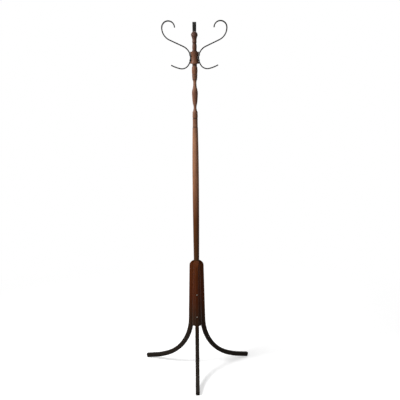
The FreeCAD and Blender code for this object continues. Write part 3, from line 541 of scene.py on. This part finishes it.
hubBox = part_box("hook_hub")
hookHeight = (hubBox[0][2] + hubBox[1][2]) / 2
strapTree = makeStrapTree()
for side, angle in hookAngles.items():
    node = "hook_" + side
    strap = growPiece("strap_" + side, strapSeed(node), strapTree, {
        "Width": strapSetup["width"], "Thickness": strapSetup["thickness"], "EdgeRound": strapSetup["edgeRound"],
        "TipRound": strapSetup["tipRound"], "Height": hookHeight, "Turn": math.radians(angle), "Material": hookIron})
    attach(strap, "root")
    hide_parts(node)
print("hooks bent")


screwSetup = {
    # shank radius and length, point length, head radius, edge and dome, slot width and depth
    "leg": {"shank": (0.00225, 0.022), "point": 0.006, "head": (0.0043, 0.0012, 0.0015), "slot": (0.0013, 0.0012)},
    "hook": {"shank": (0.0016, 0.010), "point": 0.004, "head": (0.0032, 0.0009, 0.0013), "slot": (0.0010, 0.0009)},
    "sides": 24, "domeSteps": 5, "pointRadius": 0.0005, "seed": 7,
    "slotReach": 1.2,  # length of the slot's cutter, in head widths
}


def screwBlank(name, sizes):
    # a turned screw without its slot: the seat of the head is at zero and the head points up
    shankRadius, shankLength = sizes["shank"]
    headRadius, edge, dome = sizes["head"]
    foot = -shankLength - sizes["point"]
    outline = [(screwSetup["pointRadius"], foot), (shankRadius, -shankLength), (shankRadius, 0),
               (headRadius, 0), (headRadius, edge)]
    for number in range(1, screwSetup["domeSteps"]):
        rise = math.pi / 2 * number / screwSetup["domeSteps"]
        outline.append((headRadius * math.cos(rise), edge + dome * math.sin(rise)))
    sides = screwSetup["sides"]
    mesh, shape = bpy.data.meshes.new(name), bmesh.new()
    rings = []
    for radius, height in outline:
        turns = [2 * math.pi * number / sides for number in range(sides)]
        rings.append([shape.verts.new((radius * math.cos(turn), radius * math.sin(turn), height)) for turn in turns])
    for low, high in zip(rings, rings[1:]):
        for i in range(sides):
            shape.faces.new((low[i - 1], low[i], high[i], high[i - 1]))
    for ring, height in ((rings[0], foot), (rings[-1], edge + dome)):
        pole = shape.verts.new((0, 0, height))
        for i in range(sides):
            shape.faces.new((ring[i - 1], ring[i], pole))
    bmesh.ops.recalc_face_normals(shape, faces=shape.faces)
    shape.to_mesh(mesh)
    shape.free()
    blank = bpy.data.objects.new(name, mesh)
    sceneColl.objects.link(blank)
    return blank


def makeScrewTree():
    tree, given, out = newNodeTree("slottedScrews", [
        ("Screw", "NodeSocketObject"), ("SlotWidth", "NodeSocketFloat"), ("SlotDepth", "NodeSocketFloat"),
        ("HeadTop", "NodeSocketFloat"), ("HeadWidth", "NodeSocketFloat"), ("Material", "NodeSocketMaterial")])
    blank = addNode(tree, "GeometryNodeObjectInfo")
    feed(tree, blank, "Object", given["Screw"])
    size = addNode(tree, "ShaderNodeCombineXYZ")
    across = mathNode(tree, "MULTIPLY", given["HeadWidth"], screwSetup["slotReach"])
    deep = mathNode(tree, "MULTIPLY", given["SlotDepth"], 2.0)  # half of the cutter is above the head
    for index, value in enumerate((across, given["SlotWidth"], deep)):
        feed(tree, size, index, value)
    cutter = addNode(tree, "GeometryNodeMeshCube")
    feed(tree, cutter, "Size", size.outputs[0])
    lift = addNode(tree, "ShaderNodeCombineXYZ")
    feed(tree, lift, 2, given["HeadTop"])
    raised = addNode(tree, "GeometryNodeTransform")
    feed(tree, raised, "Geometry", cutter.outputs[0])
    feed(tree, raised, "Translation", lift.outputs[0])
    slotted = addNode(tree, "GeometryNodeMeshBoolean", operation="DIFFERENCE", solver="EXACT")
    feed(tree, slotted, "Mesh 1", blank.outputs["Geometry"])
    feed(tree, slotted, "Mesh 2", raised.outputs[0])
    smooth = addNode(tree, "GeometryNodeSetShadeSmooth")
    feed(tree, smooth, "Geometry", slotted.outputs[0])
    turn = addNode(tree, "GeometryNodeInputNamedAttribute", data_type="FLOAT")
    feed(tree, turn, "Name", "slotTurn")
    spin = addNode(tree, "FunctionNodeAxisAngleToRotation")
    feed(tree, spin, "Angle", turn.outputs[0])
    outward = addNode(tree, "GeometryNodeInputNamedAttribute", data_type="FLOAT_VECTOR")
    feed(tree, outward, "Name", "outward")
    facing = addNode(tree, "FunctionNodeAlignRotationToVector", axis="Z")
    feed(tree, facing, "Rotation", spin.outputs[0])
    feed(tree, facing, "Vector", outward.outputs[0])
    placed = addNode(tree, "GeometryNodeInstanceOnPoints")
    feed(tree, placed, "Points", given["Geometry"])
    feed(tree, placed, "Instance", smooth.outputs[0])
    feed(tree, placed, "Rotation", facing.outputs[0])
    endTree(tree, out, placed.outputs[0], given["Material"])
    return tree


def screwSeats(name, places):
    # one point per screw, with the way its head faces and how far its slot is turned
    seed = bpy.data.meshes.new(name + "Seats")
    seed.from_pydata([place for place, way in places], [], [])
    seed.attributes.new("outward", "FLOAT_VECTOR", "POINT")
    seed.attributes.new("slotTurn", "FLOAT", "POINT")
    chance = random.Random(screwSetup["seed"])
    for index, (place, way) in enumerate(places):  # fetched by name, as adding an attribute can move the others
        seed.attributes["outward"].data[index].vector = way
        seed.attributes["slotTurn"].data[index].value = chance.uniform(0, math.pi)
    return seed


def legScrewPlaces():
    places = []
    for level in ("low", "high"):
        low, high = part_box("leg_front_%s_screw" % level)  # its head is the end nearest the viewer
        seat = -low[1] - sum(screwSetup["leg"]["head"][1:])
        for angle in legAngles.values():
            way = outwardAt(angle)
            places.append((way * seat + Vector((0, 0, (low[2] + high[2]) / 2)), way))
    return places


def hookScrewPlaces():
    places = []
    radii = (strapSetup["peg"][0][0], -strapSetup["arm"][0][0])  # of the strap at the low and the high screw
    for radius, rise in zip(radii, strapSetup["screwRises"]):
        tilt = math.asin(rise / radius)
        reach = radius - strapSetup["thickness"] / 2
        out = strapSetup["offset"] + radius - reach * math.cos(tilt)
        for angle in hookAngles.values():
            flat = outwardAt(angle)
            place = flat * out + Vector((0, 0, hookHeight + reach * math.sin(tilt)))
            places.append((place, flat * math.cos(tilt) - Vector((0, 0, math.sin(tilt)))))
    return places


screwTree = makeScrewTree()
screwJobs = [("leg", legAngles, legScrewPlaces(), screwSteel, "screw_steel"),
             ("hook", hookAngles, hookScrewPlaces(), blackSteel, "hook_screw_steel")]
for kind, angles, places, material, slot in screwJobs:
    sizes = screwSetup[kind]
    blank = screwBlank(kind + "ScrewBlank", sizes)
    screws = growPiece(kind + "_screws", screwSeats(kind, places), screwTree, {
        "Screw": blank, "SlotWidth": sizes["slot"][0], "SlotDepth": sizes["slot"][1],
        "HeadWidth": 2 * sizes["head"][0], "HeadTop": sum(sizes["head"][1:]), "Material": material})
    bpy.data.objects.remove(blank)
    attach(screws, "root")
    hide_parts(*["%s_%s_%s_screw" % (kind, side, level) for side in angles for level in ("low", "high")])
print("screws driven")


# stage, light and camera

# the floor fades to plain white between the two distances of whiteFrom
stageSetup = {"floorColour": 0.80, "floorGlow": 0.55, "half": 40.0, "ambient": 0.15, "whiteFrom": (0.7, 2.2)}


def seenRay(tree):
    # one for what the camera sees, straight, mirrored or through glass
    path = addNode(tree, "ShaderNodeLightPath").outputs
    seen = mathNode(tree, "MAXIMUM", path["Is Camera Ray"], path["Is Glossy Ray"])
    return mathNode(tree, "MAXIMUM", seen, path["Is Transmission Ray"])


def makeFloor():
    half = stageSetup["half"]
    mesh = bpy.data.meshes.new("floor")
    mesh.from_pydata([(-half, -half, 0), (half, -half, 0), (half, half, 0), (-half, half, 0)], [], [(0, 1, 2, 3)])
    floor = bpy.data.objects.new("floor", mesh)
    sceneColl.objects.link(floor)
    made = bpy.data.materials.new("paleFloor")
    made.use_nodes = True
    tree = made.node_tree
    tree.nodes.clear()
    level = stageSetup["floorColour"]
    diffuse = addNode(tree, "ShaderNodeBsdfDiffuse")
    feed(tree, diffuse, "Color", (level, level, level, 1))
    glow = addNode(tree, "ShaderNodeEmission")
    seen = seenRay(tree)
    feed(tree, glow, "Strength", mathNode(tree, "MULTIPLY", seen, stageSetup["floorGlow"]))
    both = addNode(tree, "ShaderNodeAddShader")
    feed(tree, both, 0, diffuse.outputs[0])
    feed(tree, both, 1, glow.outputs[0])
    reach = addNode(tree, "ShaderNodeVectorMath", operation="LENGTH")
    feed(tree, reach, 0, addNode(tree, "ShaderNodeTexCoord").outputs["Object"])
    white = addNode(tree, "ShaderNodeEmission")
    away = rangeNode(tree, reach.outputs["Value"], *stageSetup["whiteFrom"])
    fade = addNode(tree, "ShaderNodeMixShader")  # only the floor round the feet takes the shadow
    feed(tree, fade, 0, mathNode(tree, "MULTIPLY", away, seen))
    feed(tree, fade, 1, both.outputs[0])
    feed(tree, fade, 2, white.outputs[0])
    feed(tree, addNode(tree, "ShaderNodeOutputMaterial"), 0, fade.outputs[0])
    floor.data.materials.append(made)


def makeWorld():
    world = bpy.data.worlds.new("paleRoom")
    bpy.context.scene.world = world
    world.use_nodes = True
    tree = world.node_tree
    tree.nodes.clear()
    seen = seenRay(tree)
    sky = addNode(tree, "ShaderNodeBackground")
    feed(tree, sky, "Color", (1, 1, 1, 1))
    feed(tree, sky, "Strength", rangeNode(tree, seen, 0.0, 1.0, stageSetup["ambient"], 1.0))
    feed(tree, addNode(tree, "ShaderNodeOutputWorld"), 0, sky.outputs[0])


lampSetup = {
    "keyLamp": {"place": (-1.45, -0.9, 2.25), "target": (0, 0, 1.25), "size": (0.7, 1.0), "power": 66},
    "fillLamp": {"place": (1.2, -3.0, 1.4), "target": (0, 0, 0.9), "size": (1.6, 1.6), "power": 9},
    "backLamp": {"place": (0.9, 2.6, 2.2), "target": (0, 0, 1.0), "size": (1.4, 1.4), "power": 22},
}


def areaLamp(name, place, target, size, power):
    data = bpy.data.lights.new(name, "AREA")
    data.energy = power
    data.shape = "RECTANGLE"
    data.size, data.size_y = size
    lamp = bpy.data.objects.new(name, data)
    lamp.location = place
    lamp.rotation_euler = (Vector(target) - Vector(place)).to_track_quat("-Z", "Y").to_euler()
    sceneColl.objects.link(lamp)


# place in metres, turns in degrees, focal length and picture width in pixels, sensor in millimetres
cameraSetup = {
    "place": (0, -3.6, 1.63), "pitch": 10.8, "yaw": 0.34, "roll": 0.48,
    "focal": 696.7, "picture": 400, "sensor": 36,
}


def makeCamera():
    data = bpy.data.cameras.new("photoCamera")
    data.sensor_width = cameraSetup["sensor"]
    data.lens = cameraSetup["sensor"] * cameraSetup["focal"] / cameraSetup["picture"]
    camera = bpy.data.objects.new("photoCamera", data)
    turn = Matrix.Rotation(math.radians(-cameraSetup["yaw"]), 4, "Z")
    tilt = Matrix.Rotation(math.radians(90 - cameraSetup["pitch"]), 4, "X")
    roll = Matrix.Rotation(math.radians(-cameraSetup["roll"]), 4, "Z")
    camera.matrix_world = Matrix.Translation(cameraSetup["place"]) @ turn @ tilt @ roll
    sceneColl.objects.link(camera)
    bpy.context.scene.camera = camera


makeFloor()
makeWorld()
for name, lamp in lampSetup.items():
    areaLamp(name, **lamp)
makeCamera()
bpy.context.scene.view_settings.view_transform = "Standard"
print("stage, lamps and camera set")
